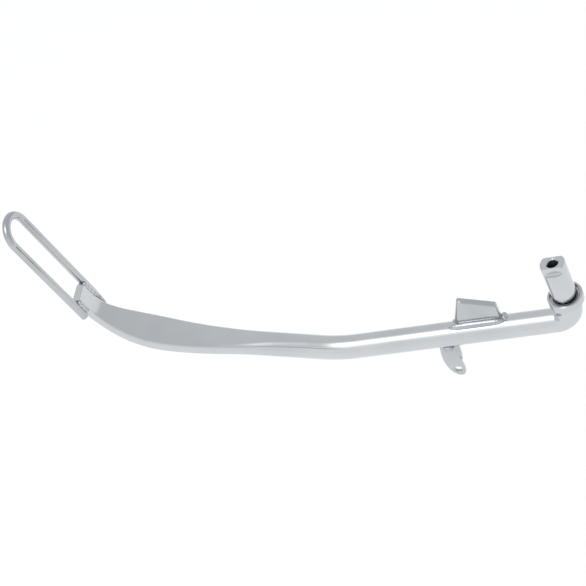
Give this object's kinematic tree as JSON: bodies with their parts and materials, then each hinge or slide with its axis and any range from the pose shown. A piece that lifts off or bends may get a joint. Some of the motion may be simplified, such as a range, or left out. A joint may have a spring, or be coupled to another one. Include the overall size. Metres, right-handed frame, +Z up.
{
  "type": "motorcycle kickstand",
  "caption": "Chrome-plated motorcycle side stand: bent round bar with a forged, upswept blade, wire toe loop, pivot pin with collar, welded stop plate and spring tab.",
  "frame": {"origin": "on the pivot pin's axis, at the collar's seat face", "axes": "+Z up the pivot pin to its threaded end, -X along the leg towards the foot, +Y across the leg towards its far side"},
  "size_m": [0.3318, 0.028, 0.1993],
  "materials": {
    "chrome_bar": "bright chrome plate on polished bar and forging",
    "chrome_collar": "bright chrome plate on a turned ring",
    "chrome_plate": "bright chrome plate on cut steel plate",
    "chrome_wire": "bright chrome plate on drawn wire",
    "chrome_weld": "chrome plate over rippled weld metal"
  },
  "bodies": {
    "root": {"leg_bar": "chrome_bar", "pivot_collar": "chrome_collar", "collar_weld": "chrome_weld", "toe_loop": "chrome_wire", "stop_plate": "chrome_plate", "spring_tab": "chrome_plate", "stop_weld_front": "chrome_weld", "stop_weld_back": "chrome_weld", "stop_weld_end": "chrome_weld", "tab_weld_front": "chrome_weld", "tab_weld_back": "chrome_weld", "tab_weld_end": "chrome_weld", "loop_weld_near_upper": "chrome_weld", "loop_weld_near_lower": "chrome_weld", "loop_weld_far_upper": "chrome_weld", "loop_weld_far_lower": "chrome_weld"}
  },
  "joints": []
}
